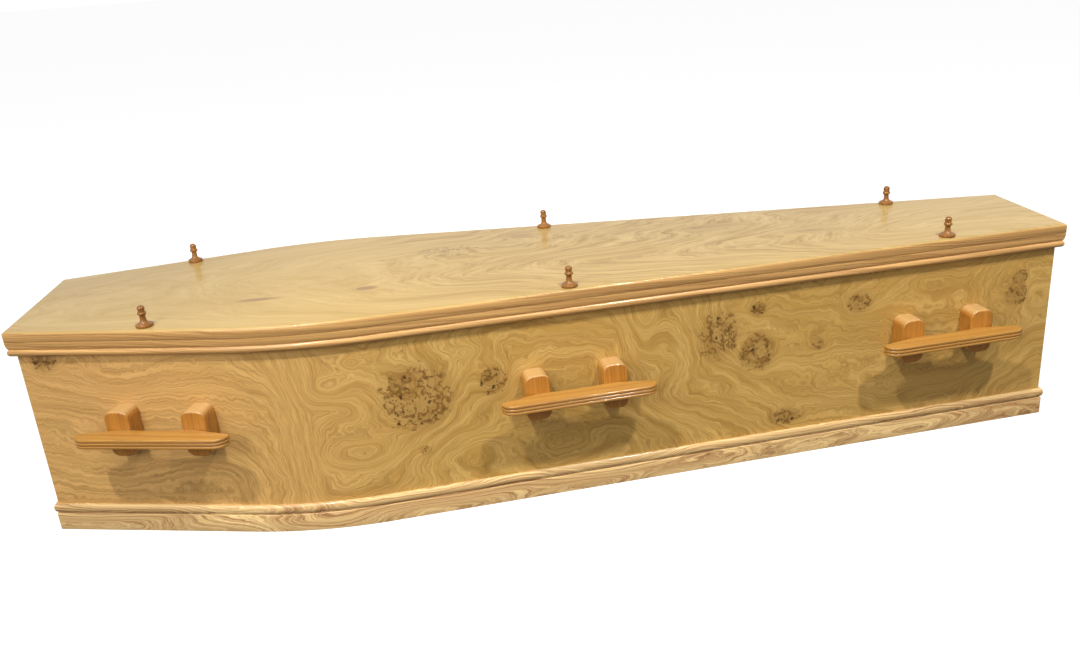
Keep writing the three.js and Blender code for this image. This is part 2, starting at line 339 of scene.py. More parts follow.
# %% Group: a hill in the grain
# Height at a place is height * e to the power of -(distance from the centre / reach) squared
hill_group, given, put = new_group(
    "Grain hill",
    [("Place", "Vector"), ("Centre", "Vector"), ("Reach", "Vector"), ("Height", "Float")],
    [("Height", "Float")])
tree = hill_group
away = vector_formula(tree, "DIVIDE",
                      vector_formula(tree, "SUBTRACT", given["Place"], given["Centre"]),
                      given["Reach"])
square = vector_formula(tree, "DOT_PRODUCT", away, away)
bell = formula(tree, "EXPONENT", times(tree, square, -1.0))
feed(tree, put["Height"], times(tree, bell, given["Height"]))
print("nodes in the hill group:", len(tree.nodes))

# %% Group: fibres that follow the field
line_group, given, put = new_group(
    "Grain lines", [("Field", "Float"), ("Place", "Vector")],
    [("Lines", "Float"), ("Bands", "Float"), ("Pores", "Float")])


def fibres(tree, field, place, across, along, detail):
    """Noise at the point (field * across, 0, 0) + place * along: across is how many changes a
    ring gets, and along is how many a metre of the same line gets."""
    step = tree.nodes.new("ShaderNodeCombineXYZ")
    feed(tree, step.inputs["X"], times(tree, field, across))
    moved = vector_formula(tree, "ADD", step.outputs["Vector"],
                           vector_formula(tree, "MULTIPLY", place, (along, along, along)))
    return noise(tree, moved, detail=detail, roughness=0.6)


tree = line_group
# Each kind of fibre: changes to a ring, changes to a metre of the line, and detail
FIBRES = {"fine": (4.6, 20.0, 5.0), "broad": (0.9, 6.0, 2.0), "late": (2.0, 9.0, 2.0),
          "hair": (13.0, 48.0, 2.0), "dashes": (21.0, 75.0, 1.0)}
kinds = {kind: fibres(tree, given["Field"], given["Place"], *numbers)
         for kind, numbers in FIBRES.items()}
all_lines = [spread(tree, kinds["fine"], 0.40, 0.66, 0.0, 0.50),
             spread(tree, kinds["late"], 0.52, 0.70, 0.0, 0.16),
             spread(tree, kinds["hair"], 0.42, 0.62, 0.0, 0.34)]
feed(tree, put["Lines"], add_all(tree, all_lines))
feed(tree, put["Bands"], spread(tree, kinds["broad"], 0.32, 0.68))
short_dashes = spread(tree, kinds["dashes"], 0.58, 0.72)
in_fine_lines = spread(tree, kinds["fine"], 0.45, 0.60, 0.3, 1.0)
feed(tree, put["Pores"], times(tree, short_dashes, in_fine_lines))
print("kinds of fibre:", len(kinds), "nodes:", len(tree.nodes))

# %% Group: pips inside a burr
pip_group, given, put = new_group(
    "Burr pips", [("Place", "Vector"), ("Patch", "Float")],
    [("Pips", "Float"), ("Mottle", "Float")])


def dots(tree, place, scale, keep):
    """Round dots at random cell centres. A cell shows its dot where its random number is over
    keep, and another random number sets the dot's size."""
    cells = tree.nodes.new("ShaderNodeTexVoronoi")
    feed_all(tree, cells, Vector=place, Scale=scale)
    number = tree.nodes.new("ShaderNodeSeparateColor")
    feed(tree, number.inputs[0], cells.outputs["Color"])
    size = times(tree, number.outputs[1], 0.22)
    dot = spread(tree, less(tree, cells.outputs["Distance"], size), 0.20, 0.06)
    return times(tree, dot, formula(tree, "GREATER_THAN", number.outputs[0], keep))


tree = pip_group
# The patch's edge is made ragged by noise before it is cut
EDGE_SCALE, EDGE_DEPTH = 42.0, 2.3
edge_noise = noise(tree, given["Place"], scale=EDGE_SCALE, detail=4.0, roughness=0.65)
edge_shift = times(tree, less(tree, edge_noise, 0.5), EDGE_DEPTH)
inside = spread(tree, formula(tree, "ADD", given["Patch"], edge_shift), 0.42, 0.66)
# Places are shaken by up to half of SHAKE, in metres, so that no dot is quite round
SHAKE_SCALE, SHAKE = 90.0, 0.011
shake = vector_formula(tree, "MULTIPLY",
                       noise_colour(tree, given["Place"], SHAKE_SCALE), (SHAKE, SHAKE, SHAKE))
shaken = vector_formula(tree, "ADD", given["Place"], shake)
large_dots = dots(tree, shaken, 100.0, 0.60)
small_dots = times(tree, dots(tree, shaken, 190.0, 0.55), 0.7)
both = formula(tree, "MAXIMUM", large_dots, small_dots)
feed(tree, put["Pips"], times(tree, both, inside))
# Mottle is thin strokes where one noise crosses its middle, and soft patches of another
ridge_noise = noise(tree, shaken, scale=46.0, detail=2.0)
ridge = formula(tree, "ABSOLUTE", less(tree, ridge_noise, 0.5))
patchy = noise(tree, shaken, scale=38.0, detail=4.0, roughness=0.75)
stroke = times(tree, spread(tree, ridge, 0.075, 0.010),
               spread(tree, patchy, 0.40, 0.52))
soft_patches = spread(tree, patchy, 0.52, 0.68, 0.0, 0.6)
mottle = formula(tree, "MAXIMUM", stroke, soft_patches)
feed(tree, put["Mottle"], times(tree, mottle, inside))
print("nodes in the pip group:", len(tree.nodes))

# %% [markdown]
# The side veneer. The places below are read off the photograph along the board, in metres from the
# head end and up from the ground, and each is a hill in the grain. Burrs are hills that also
# carry pips. Between them the sheet has its own slow drift, and at the bend the lines stand
# upright, which a steep ramp along the board gives.

# %% Places of the side veneer's figure: (along, up), (half length, half height), height in rings
SWIRLS = [
    ((0.541, 0.272), (0.034, 0.020), 2.6),
    ((0.538, 0.225), (0.036, 0.017), -2.2),
    ((0.576, 0.138), (0.062, 0.026), 4.2),
    ((0.583, 0.307), (0.016, 0.010), 1.5),
    ((0.780, 0.298), (0.018, 0.012), 1.6),
    ((0.740, 0.100), (0.120, 0.050), -3.2),
    ((0.934, 0.256), (0.120, 0.080), -4.5),
    ((1.089, 0.310), (0.030, 0.060), 4.6),
    ((1.150, 0.160), (0.070, 0.050), 3.0),
    ((1.560, 0.120), (0.120, 0.050), 2.6),
    ((1.650, 0.300), (0.080, 0.040), -2.6),
    ((0.180, 0.300), (0.120, 0.050), 1.4),
    ((0.300, 0.120), (0.090, 0.060), -1.4),
]
BURRS = [
    ((0.687, 0.228), (0.074, 0.070), 6.0),
    ((0.820, 0.238), (0.030, 0.032), 3.0),
    ((0.690, 0.125), (0.012, 0.010), 1.0),
    ((1.234, 0.262), (0.046, 0.056), 4.0),
    ((1.304, 0.218), (0.040, 0.042), 3.4),
    ((1.307, 0.302), (0.020, 0.016), 1.6),
    ((1.363, 0.080), (0.038, 0.020), 2.2),
    ((1.425, 0.216), (0.014, 0.012), 1.0),
    ((1.503, 0.287), (0.030, 0.024), 3.0),
    ((1.827, 0.258), (0.028, 0.026), 2.6),
    ((1.832, 0.292), (0.020, 0.016), 1.4),
    ((0.046, 0.330), (0.030, 0.024), 2.0),
]
# The reach of a hill along the axis that the sheet has no figure along: as good as endless
ENDLESS = 1000.0


def place_hills(tree, place, hills, flat_axis):
    """One hill group per entry. flat_axis is the axis the sheet has no figure along."""
    heights = []
    for (first, second), (half_first, half_second), height in hills:
        centre, reach = [first, second], [half_first, half_second]
        centre.insert(flat_axis, 0.0)
        reach.insert(flat_axis, ENDLESS)
        heights.append(use_group(tree, hill_group, Place=place, Centre=centre, Reach=reach,
                                 Height=height)["Height"])
    return heights


print("swirls:", len(SWIRLS), "burrs:", len(BURRS))

# %% Shared parts of every oak material
def grain_place(tree):
    """Where a point lay in its board, from the piece's own attribute."""
    node = tree.nodes.new("ShaderNodeAttribute")
    node.attribute_name = "grain"
    return node.outputs["Vector"]


def object_place(tree):
    """The point's place in the object, for flat boards that lie as they were cut."""
    return tree.nodes.new("ShaderNodeTexCoord").outputs["Object"]


def separate(tree, vector):
    """The three numbers of a vector, by the names X, Y and Z."""
    node = tree.nodes.new("ShaderNodeSeparateXYZ")
    feed(tree, node.inputs[0], vector)
    return node.outputs


def start_material(name):
    """A new material with its node tree and its Principled BSDF."""
    material = bpy.data.materials.new(name)
    material.use_nodes = True
    tree = material.node_tree
    shader = tree.nodes["Principled BSDF"]
    return material, tree, shader


def shade(tree, body, share, colour, strength=1.0):
    """Blends a colour over the body by share * strength."""
    if strength != 1.0:
        share = times(tree, share, strength)
    return blend_colour(tree, share, body, colour)


def oak_body(tree, lines, light, dark, contrast):
    """Plain oak: bands of a slightly darker tone, under lines of the dark one."""
    band = blend_colour(tree, 0.3, light, dark)
    body = blend_colour(tree, lines["Bands"], light, band)
    return shade(tree, body, lines["Lines"], dark, contrast)


def feed_oak(tree, shader, body, lines, low, high):
    """Feeds the colour, and a roughness that goes from low to high with the lines."""
    roughness = spread(tree, lines["Lines"], 0.0, 1.0, low, high)
    feed_all(tree, shader, Base_Color=body, Roughness=roughness)


def varnish(tree, shader, roughness, coat):
    """Clear varnish: a sharp coat over wood that is itself a little rough."""
    feed_all(tree, shader, Coat_Weight=coat, Coat_Roughness=roughness, Specular_IOR_Level=0.35)


PORE_DEPTH = 0.0002


def press_in(tree, shader, depth, strength=0.4):
    """The bump's height is one less the depth: pores and late wood lie deeper, 0.2 mm at most."""
    height = less(tree, 1.0, depth)
    bump = tree.nodes.new("ShaderNodeBump")
    feed_all(tree, bump, Strength=strength, Distance=PORE_DEPTH, Height=height)
    feed(tree, shader.inputs["Normal"], bump.outputs["Normal"])


print("pores are pressed in by", PORE_DEPTH * 1000, "mm at most")

# %% Side veneer material
# Ramps along the board, (from, to, rings): steep ones stand the fibres upright, as at the bend,
# and long ones lean them, towards the foot where they rise and towards the head where they fall.
RAMPS = [(0.435, 0.530, 8.0), (0.600, 0.860, -6.5), (0.990, 1.440, 12.5), (1.700, 1.880, -6.0)]
# Rings to a metre of height, and how many rings each kind of bending noise is worth
SIDE_RISE, SIDE_DRIFT, SIDE_WANDER, SIDE_SHIVER = 30.0, 9.0, 2.4, 0.60
SIDE_LIGHT, SIDE_MID, SIDE_DARK = linear(214, 173, 97), linear(186, 143, 68), linear(128, 88, 30)
# A lighter, pinker tone for the head end of the sides: the pinker tone, with painted light for the
# stronger light there
SIDE_WARM_AND_LIT = linear(232, 180, 114)
BURR_BROWN, PIP_BROWN = linear(114, 76, 28), linear(66, 38, 12)


def side_veneer():
    """The field is SIDE_RISE times the height, plus the ramps along the board, plus the hills of
    the burrs and swirls. Drift and wander bend it, little in the head part and more beyond."""
    material, tree, shader = start_material("burr_oak_veneer")
    place = grain_place(tree)
    parts = separate(tree, place)
    along, up = parts["X"], parts["Z"]
    drift = stretched_noise(tree, place, (3.6, 0.0, 6.5), 1.0)
    wander = stretched_noise(tree, place, (15.0, 0.0, 22.0), 2.0)
    shiver = stretched_noise(tree, place, (60.0, 0.0, 48.0), 2.0)
    lively = spread(tree, along, 0.34, 0.52, 0.35, 1.0)
    bends = [times(tree, times(tree, drift, lively), SIDE_DRIFT),
             times(tree, times(tree, wander, lively), SIDE_WANDER),
             times(tree, shiver, SIDE_SHIVER)]
    ramps = [spread(tree, along, start, stop, 0.0, height) for start, stop, height in RAMPS]
    burr_hills = place_hills(tree, place, BURRS, 1)
    swirl_hills = place_hills(tree, place, SWIRLS, 1)
    rise = times(tree, up, SIDE_RISE)
    field = add_all(tree, [rise] + ramps + bends + burr_hills + swirl_hills)
    lines = use_group(tree, line_group, Field=field, Place=place)
    patches = [spread(tree, hill, 0.20 * height, 0.80 * height)
               for hill, (_, _, height) in zip(burr_hills, BURRS)]
    patch = patches[0]
    for other in patches[1:]:
        patch = formula(tree, "MAXIMUM", patch, other)
    pips = use_group(tree, pip_group, Place=place, Patch=patch)
    body = shade(tree, SIDE_LIGHT, lines["Bands"], SIDE_MID, 0.8)
    # Painted light, in part: the sides grow lighter and warmer towards the head end, where more
    # light falls
    body = shade(tree, body, spread(tree, along, 0.10, 0.85, 0.62, 0.0), SIDE_WARM_AND_LIT)
    body = shade(tree, body, lines["Lines"], SIDE_DARK, 0.66)
    body = shade(tree, body, patch, BURR_BROWN, 0.30)
    body = shade(tree, body, pips["Mottle"], BURR_BROWN, 0.85)
    body = shade(tree, body, lines["Pores"], BURR_BROWN, 0.22)
    body = shade(tree, body, pips["Pips"], PIP_BROWN, 0.85)
    feed_oak(tree, shader, body, lines, 0.42, 0.55)
    varnish(tree, shader, 0.12, 0.35)
    press_in(tree, shader, formula(tree, "ADD", lines["Pores"], pips["Pips"]), strength=0.25)
    return material


SIDE_VENEER = side_veneer()
print("nodes in the side veneer:", len(SIDE_VENEER.node_tree.nodes))

# %% [markdown]
# The lid's veneer is crown cut: the sheet comes from the side of a log, so the rings show as long
# nested arches. A power of the distance from the tree's centre line draws them. They are strong
# only in the middle of the lid. The few dark marks are read off the photograph, in metres from
# the middle of the lid, as small hills with a brown of their own.

# %% Lid veneer material
LID_APEX = (-0.083, -0.082)
LID_MARKS = [
    ((-0.539, -0.107), (0.046, 0.009), 1.6),
    ((-0.342, -0.102), (0.020, 0.011), 1.8),
    ((0.333, 0.086), (0.060, 0.012), 1.2),
    ((0.508, -0.007), (0.050, 0.012), 1.0),
    ((-0.044, 0.153), (0.040, 0.016), 1.0),
    ((0.139, -0.070), (0.030, 0.010), 1.0),
]
LID_BURRS = [((-0.190, 0.091), (0.075, 0.045), 1.2)]
# Rings to a metre along and across, the arch's height and power, and rings of drift and wander
LID_RISE, LID_TILT, LID_ARCH, LID_ARCH_POWER = 4.2, 9.0, -40.0, 1.5
LID_DRIFT, LID_WANDER = 6.0, 0.9
LID_LIGHT, LID_MID, LID_DARK = linear(207, 174, 108), linear(192, 157, 87), linear(136, 99, 44)
MARK_BROWN, LID_BURR_BROWN = linear(126, 86, 46), linear(150, 108, 60)


def lid_veneer():
    """The field is LID_RISE times x, plus LID_TILT times y, plus LID_ARCH times the distance from
    the tree's centre line to the power LID_ARCH_POWER, plus noise and the hills of the marks."""
    material, tree, shader = start_material("crown_cut_oak_veneer")
    place = object_place(tree)
    parts = separate(tree, place)
    aside = less(tree, parts["Y"], LID_APEX[1])
    drift = stretched_noise(tree, place, (2.2, 5.0, 0.0), 1.0)
    wander = stretched_noise(tree, place, (8.0, 22.0, 0.0), 2.0)
    middle = times(tree, spread(tree, parts["X"], LID_APEX[0] - 0.40, LID_APEX[0]),
                   spread(tree, parts["X"], 0.80, 0.40, 0.35, 1.0))
    arch = formula(tree, "POWER", formula(tree, "ABSOLUTE", aside), LID_ARCH_POWER)
    mark_hills = place_hills(tree, place, LID_MARKS, 2)
    burr_hills = place_hills(tree, place, LID_BURRS, 2)
    field = add_all(tree, [times(tree, parts["X"], LID_RISE),
                           times(tree, arch, LID_ARCH),
                           times(tree, parts["Y"], LID_TILT),
                           times(tree, drift, LID_DRIFT),
                           times(tree, wander, LID_WANDER)]
                    + mark_hills + burr_hills)
    lines = use_group(tree, line_group, Field=field, Place=place)
    patch = spread(tree, burr_hills[0], 0.3, 0.9)
    pips = use_group(tree, pip_group, Place=place, Patch=patch)
    body = shade(tree, LID_LIGHT, lines["Bands"], LID_MID, 0.7)
    strength = formula(tree, "ADD", 0.18, times(tree, middle, 0.50))
    body = shade(tree, body, times(tree, lines["Lines"], strength), LID_DARK)
    streaks = times(tree, spread(tree, add_all(tree, mark_hills), 0.15, 1.2),
                    spread(tree, wander, 0.38, 0.62, 0.45, 1.0))
    body = shade(tree, body, streaks, MARK_BROWN, 0.6)
    body = shade(tree, body, pips["Mottle"], LID_BURR_BROWN, 0.75)
    body = shade(tree, body, pips["Pips"], MARK_BROWN, 0.6)
    body = shade(tree, body, lines["Pores"], LID_DARK, 0.15)
    feed_oak(tree, shader, body, lines, 0.34, 0.45)
    varnish(tree, shader, 0.10, 0.35)
    press_in(tree, shader, lines["Pores"], strength=0.2)
    return material


LID_VENEER = lid_veneer()
print("nodes in the lid veneer:", len(LID_VENEER.node_tree.nodes))

# %% [markdown]
# Solid oak. A strip sawn from a plank shows the tree's rings where its faces cut them, so its field
# is the distance from the middle of the tree, bent by noise that is long with the grain. Where a
# face runs nearly along a ring, the same formula gives the tall flames seen on the base moulding.

# %% Solid oak material
SOLID_VARNISH_ROUGHNESS = 0.14
# The painted shade in a groove is full within the first distance of its middle and gone at the
# second
QUIRK_SHADE_FULL, QUIRK_SHADE_GONE = 0.0003, 0.0011


def solid_oak(name, light, dark, ring, heart, wave, contrast, coat=0.5, swap=(0, 1, 2), top=None,
              quirk=None):
    """The field is the distance from a line along the grain at `heart`, divided by `ring` metres,
    and bent by noise of `wave` metres. Swap puts the grain's own direction first. On faces that
    look up, where the grain ends, `top` is the end grain's colour made lighter: a painted highlight
    for the light and sheen that fall on a top. Painted shade darkens the two quirks of a reeded
    edge, `quirk` above and below its middle."""
    material, tree, shader = start_material(name)
    parts = separate(tree, grain_place(tree))
    ordered = tree.nodes.new("ShaderNodeCombineXYZ")
    for socket, axis in zip(ordered.inputs, swap):
        feed(tree, socket, parts[axis])
    place = ordered.outputs["Vector"]
    slow = stretched_noise(tree, place, (3.2, 12.0, 12.0), 1.0)
    quick = stretched_noise(tree, place, (26.0, 90.0, 90.0), 2.0)
    from_heart = vector_formula(tree, "SUBTRACT", place, (0.0, *heart))
    across = vector_formula(tree, "MULTIPLY", from_heart, (0.0, 1.0, 1.0))
    distance = formula(tree, "SQRT", vector_formula(tree, "DOT_PRODUCT", across, across))
    field = add_all(tree, [formula(tree, "DIVIDE", distance, ring),
                           times(tree, slow, wave / ring),
                           times(tree, quick, 0.5)])
    lines = use_group(tree, line_group, Field=field, Place=place)
    body = oak_body(tree, lines, light, dark, contrast)
    darker = tuple(0.55 * channel for channel in dark[:3]) + (1.0,)
    body = shade(tree, body, lines["Pores"], darker, 0.35)
    if top:
        # Painted highlight: faces that look up blend towards the lighter top colour, as if lit from
        # above
        normal = tree.nodes.new("ShaderNodeNewGeometry").outputs["Normal"]
        top_highlight_share = spread(tree, separate(tree, normal)["Z"], 0.30, 0.95, 0.0, 0.8)
        body = blend_colour(tree, top_highlight_share, body, top)
    # Painted shade: a dark line along each quirk of the reeds
    if quirk:
        level = formula(tree, "ABSOLUTE", parts["Z"])
        away = formula(tree, "ABSOLUTE", less(tree, level, quirk))
        body = shade(tree, body, spread(tree, away, QUIRK_SHADE_GONE, QUIRK_SHADE_FULL, 0.0, 0.65), dark)
    feed_oak(tree, shader, body, lines, 0.36, 0.5)
    varnish(tree, shader, SOLID_VARNISH_ROUGHNESS, coat)
    depth = formula(tree, "ADD", lines["Pores"], times(tree, lines["Lines"], 0.3))
    press_in(tree, shader, depth)
    return material


BASE_OAK = solid_oak("base_moulding_oak", linear(255, 220, 153), linear(142, 80, 32),
                     ring=0.010, heart=(0.04, 0.01), wave=0.090, contrast=1.0)
LID_OAK = solid_oak("lid_moulding_oak", linear(232, 182, 112), linear(130, 80, 34),
                    ring=0.010, heart=(0.02, 0.30), wave=0.020, contrast=0.85)
# The bars' quirks carry painted shade
BAR_OAK = solid_oak("handle_bar_oak", linear(200, 146, 66), linear(126, 72, 14),
                    ring=0.005, heart=(0.08, 0.02), wave=0.010, contrast=0.6, coat=0.8,
                    quirk=0.0029)
# The blocks' lighter tops are a painted highlight for the light falling on them
BLOCK_OAK = solid_oak("handle_block_oak", linear(198, 134, 48), linear(136, 76, 15),
                      ring=0.005, heart=(0.09, 0.03), wave=0.006, contrast=0.7, coat=1.0,
                      swap=(2, 0, 1), top=linear(206, 166, 108))
FINIAL_OAK = solid_oak("finial_oak", linear(170, 114, 50), linear(96, 56, 18),
                       ring=0.004, heart=(0.06, 0.02), wave=0.006, contrast=0.8, swap=(2, 0, 1))
print("nodes in the bars' oak:", len(BAR_OAK.node_tree.nodes))

# %% [markdown]
# The two long sides. Each is one board, kerfed behind and bent, so the veneer runs unbroken round
# the shoulder. The solid has ten facets there and a gloss finish would show every one, so the
# board is made again with a fine bend. The back board is the next leaf of veneer, turned end for
# end.

# %% Side boards
BOARD_PROFILE = np.array([[-BOARD_THICKNESS, 0.0], [0.0, 0.0], [0.0, SIDE_TOP],
                          [-BOARD_THICKNESS, SIDE_TOP]])
for side in ("front", "back"):
    stations = side_stations("square")
    stations = mirrored(stations) if side == "front" else stations
    board = carried(f"bent_side_{side}", BOARD_PROFILE, stations, turned=side == "back")
    stand_for(board, f"side_board_{side}", SIDE_VENEER)
print("side board points:", len(board.data.vertices))

# %% [markdown]
# Mouldings. Both are one profile carried round the box in four mitred strips. The base moulding
# is a flat with a groove and a half-round bead above it. The lid moulding hangs under the lid's
# overhang: a bead at its foot, a dark quirk, and a round that swells up to meet the lid's edge.

# %% Moulding profiles, as (offset from the box, height)
BASE_FLAT_HEIGHT, BASE_FLAT_REACH, BASE_EASE = 0.0334, 0.0050, 0.0008
GROOVE_REACH, GROOVE_TOP, GROOVE_SLOPE = 0.0030, 0.0360, 0.0006
BASE_BEAD_TOP, BASE_BEAD_REACH = 0.0524, 0.0072
LID_MOULDING_HEIGHT, LID_MOULDING_CLEARANCE, LID_ROUND_DEPTH = 0.0270, 0.0010, 0.0034
LID_BEAD_RADIUS, LID_BEAD_REACH = 0.0066, 0.0118
BEAD_STEPS = 14


def base_profile():
    """A flat with two eased edges, a shallow groove, and half an ellipse for the bead."""
    bead = arc((GROOVE_REACH, (GROOVE_TOP + BASE_BEAD_TOP) / 2),
               (BASE_BEAD_REACH - GROOVE_REACH, (BASE_BEAD_TOP - GROOVE_TOP) / 2),
               -90, 90, BEAD_STEPS)
    edge = BASE_FLAT_REACH - BASE_EASE
    ease = (BASE_EASE, BASE_EASE)
    return np.vstack([[FIT_GAP, 0.0], arc((edge, BASE_EASE), ease, -90, 0, 3),
                      arc((edge, BASE_FLAT_HEIGHT - BASE_EASE), ease, 0, 90, 3),
                      [GROOVE_REACH, BASE_FLAT_HEIGHT + GROOVE_SLOPE], bead,
                      [FIT_GAP, BASE_BEAD_TOP]])


def lid_profile():
    """A half-round bead, a narrow quirk, and a quarter ellipse that swells up to the lid's edge."""
    bottom = SIDE_TOP - LID_MOULDING_HEIGHT
    bead_top = bottom + 2 * LID_BEAD_RADIUS
    bead = arc((LID_BEAD_REACH - LID_BEAD_RADIUS, bottom + LID_BEAD_RADIUS),
               (LID_BEAD_RADIUS, LID_BEAD_RADIUS), -90, 60, BEAD_STEPS)
    swell = arc((LID_OVERHANG - LID_ROUND_DEPTH, SIDE_TOP),
                (LID_ROUND_DEPTH, SIDE_TOP - bead_top), -75, 0, 10)
    return np.vstack([[LID_MOULDING_CLEARANCE, bottom], bead, swell,
                      [LID_MOULDING_CLEARANCE, SIDE_TOP]])


def mouldings(name, profile, material):
    """Four strips of one profile, drawn back at each mitre so that neighbours keep the gap."""
    draw_back = FIT_GAP / math.sqrt(2)
    back = side_stations("mitred", draw_back)
    runs = {"back": back, "front": mirrored(back), "head": end_stations("head", draw_back),
            "foot": end_stations("foot", draw_back)}
    for place, stations in runs.items():
        strip = carried(f"{name}_strip_{place}", profile, stations)
        stand_for(strip, f"{name}_{place}", material)


mouldings("base_moulding", base_profile(), BASE_OAK)
mouldings("lid_moulding", lid_profile(), LID_OAK)
print("points in the profiles:", len(base_profile()), len(lid_profile()))

# %% [markdown]
# The lid board is a plate with the outline of the whole plan and a rounded top edge. Its rings are
# stacked upwards, each the plan at one offset, and the last one is closed by the flat top. The
# real board is veneered on its face and lipped with solid oak, so its edge takes the moulding's
# wood, with the moulding's own grain numbers, and the veneer ends half way round the top edge.

# %% Lid board
LID_ARRIS_RADIUS, LID_EASE = 0.005, 0.0008
# A face is veneer where the vertical part of its normal is over this, and lipping below it
VENEER_FACES_UP = 0.60


def lid_board():
    """Rings of the whole plan at (offset, height): straight up the edge, then a quarter round.
    Grain is (distance run along the side, offset, height), as it is on the mouldings."""
    at, out = side_stations("mitred")
    front_at, front_out = mirrored((at, out))
    at = np.vstack([at, front_at[::-1]])
    out = np.vstack([out, front_out[::-1]])
    radius = LID_ARRIS_RADIUS
    levels = np.vstack([[LID_OVERHANG - LID_EASE, LID_UNDERSIDE],
                        [LID_OVERHANG, LID_UNDERSIDE + LID_EASE],
                        arc((LID_OVERHANG - radius, LID_TOP - radius), (radius, radius), 0, 90, 8)])
    run = run_along(front_at)
    by_station = swept(levels, at, out, np.concatenate([run, run[::-1]]))
    rings, grain = (part.swapaxes(0, 1) for part in by_station)
    return ring_mesh("flat_lid", rings, grain, sharp_degrees=50.0)


lid = stand_for(lid_board(), "lid_board", LID_VENEER)
lid.data.materials.append(LID_OAK)
upright = np.zeros(len(lid.data.polygons) * 3)
lid.data.polygons.foreach_get("normal", upright)
lipping = (np.abs(upright.reshape(-1, 3)[:, 2]) < VENEER_FACES_UP).astype(np.int32)
lid.data.polygons.foreach_set("material_index", lipping)
print("lid faces in veneer:", int((lipping == 0).sum()), "in lipping:", int(lipping.sum()))

# %% [markdown]
# Handles. Each has a flat bar with three reeds along its front edge, fixed across the fronts of
# two upright blocks. They are shaped in a frame of their own, along the side, out of it and up,
# and then put on the panel. The grain runs along the bar and up the blocks.

# %% Frames on the panels
HANDLE_LEVEL = 0.209
BLOCK_SPACING, BLOCK_WIDTH, BLOCK_HEIGHT, BLOCK_DEPTH = 0.1385, 0.045, 0.084, 0.037
HANDLE_STATIONS = {"head": HEAD_X + 0.241, "middle": HEAD_X + 0.945, "foot": -HEAD_X - 0.233}


def panel_frame(side, x):
    """The point of a straight run at x, the direction along it, and the direction out of it."""
    if x < HEAD_X + SHOULDER_STATION:
        y, turn = HEAD_HALF + (x - HEAD_X) * math.tan(HEAD_TURN), HEAD_TURN
    else:
        y, turn = FOOT_HALF + (-HEAD_X - x) * math.tan(FOOT_TURN), -FOOT_TURN
    flip = -1.0 if side == "front" else 1.0
    along = np.array([math.cos(turn), flip * math.sin(turn), 0.0])
    out = np.array([-math.sin(turn), flip * math.cos(turn), 0.0])
    return np.array([x, flip * y, 0.0]), along, out


def put_on_panel(local, side, x, shift=0.0):
    """Local (along, out, up) points become origin + along * (a + shift) + out * b + up * c."""
    origin, along, out = panel_frame(side, x)
    up = np.array([0.0, 0.0, 1.0])
    return (origin + (local[..., :1] + shift) * along + local[..., 1:2] * out
            + (local[..., 2:] + HANDLE_LEVEL) * up)


for place, x in HANDLE_STATIONS.items():
    print(place, "handle stands at", np.round(panel_frame("front", x)[0], 4).tolist())

# %% Bar and block
# The bar's reach is a hair less than its solid's, because its finer tips bulge a little further
BAR_LENGTH, BAR_THICKNESS, BAR_REACH = 0.275, 0.0174, 0.0755
TIP_REACH, TIP_SETBACK, SCOOP = 0.053, 0.022, 0.002
REEDS, REED_DEPTH, STEPS_TO_A_REED = 3, 0.0016, 10
BLOCK_CORNER_RADIUS, BLOCK_EDGE = 0.015, 0.0035


def bar_outline():
    """Half of the plan from the middle of the back to the middle of the front: a cosine scoop
    between the blocks, a taper to the tip, and a quarter ellipse forward. The third number is 1
    where the reeds run round the edge."""
    back = BLOCK_DEPTH + FIT_GAP
    inner, middle, tip = (BLOCK_SPACING - BLOCK_WIDTH) / 2, BLOCK_SPACING / 2, BAR_LENGTH / 2
    share = np.linspace(0.04, 1.0, 12)
    scoop = np.stack([share * inner, back + SCOOP * np.cos(share ** 2.2 * math.pi / 2)], 1)
    share = np.linspace(0.0, 1.0, 10)[:-1]
    taper = np.stack([middle + (tip - middle) * share, back + (TIP_REACH - back) * share], 1)
    front = arc((tip - TIP_SETBACK, TIP_REACH), (TIP_SETBACK, BAR_REACH - TIP_REACH), 0, 90, 14)
    plain = np.vstack([scoop, taper])
    half = np.vstack([np.column_stack([plain, np.zeros(len(plain))]),
                      np.column_stack([front, np.ones(len(front))])])
    return np.vstack([half, half[::-1] * np.array([-1.0, 1.0, 1.0])])


def bar_rings():
    """The outline stacked upwards. At each level the reeds draw the front and the tips in by
    REED_DEPTH times one less the height of a half circle, one circle to a reed."""
    outline = bar_outline()
    level = np.linspace(0.0, 1.0, STEPS_TO_A_REED * REEDS + 1)
    across = 2 * np.mod(level * REEDS, 1.0) - 1
    depth = REED_DEPTH * (1 - np.sqrt(np.clip(1 - across ** 2, 0, 1)))
    tipward = np.clip((np.abs(outline[:, 0]) - BAR_LENGTH / 2 + TIP_SETBACK) / TIP_SETBACK, 0, 1)
    frontward = np.sqrt(1 - tipward ** 2)
    drawn = depth[:, None] * outline[None, :, 2]
    along = outline[None, :, 0] - np.sign(outline[None, :, 0]) * drawn * tipward
    reach = outline[None, :, 1] - drawn * frontward
    up = np.broadcast_to((level[:, None] - 0.5) * BAR_THICKNESS, along.shape)
    return np.stack([along, reach, up], -1)


def round_rectangle(width, height, radius, inset):
    """Four quarter circles about the corners' centres, (along, up), drawn in by the inset."""
    corner = max(radius - inset, radius / 4)
    x, y = width / 2 - inset - corner, height / 2 - inset - corner
    quarters = [((x, y), 0), ((-x, y), 90), ((-x, -y), 180), ((x, -y), 270)]
    return np.vstack([arc(centre, (corner, corner), start, start + 90, 10)
                      for centre, start in quarters])


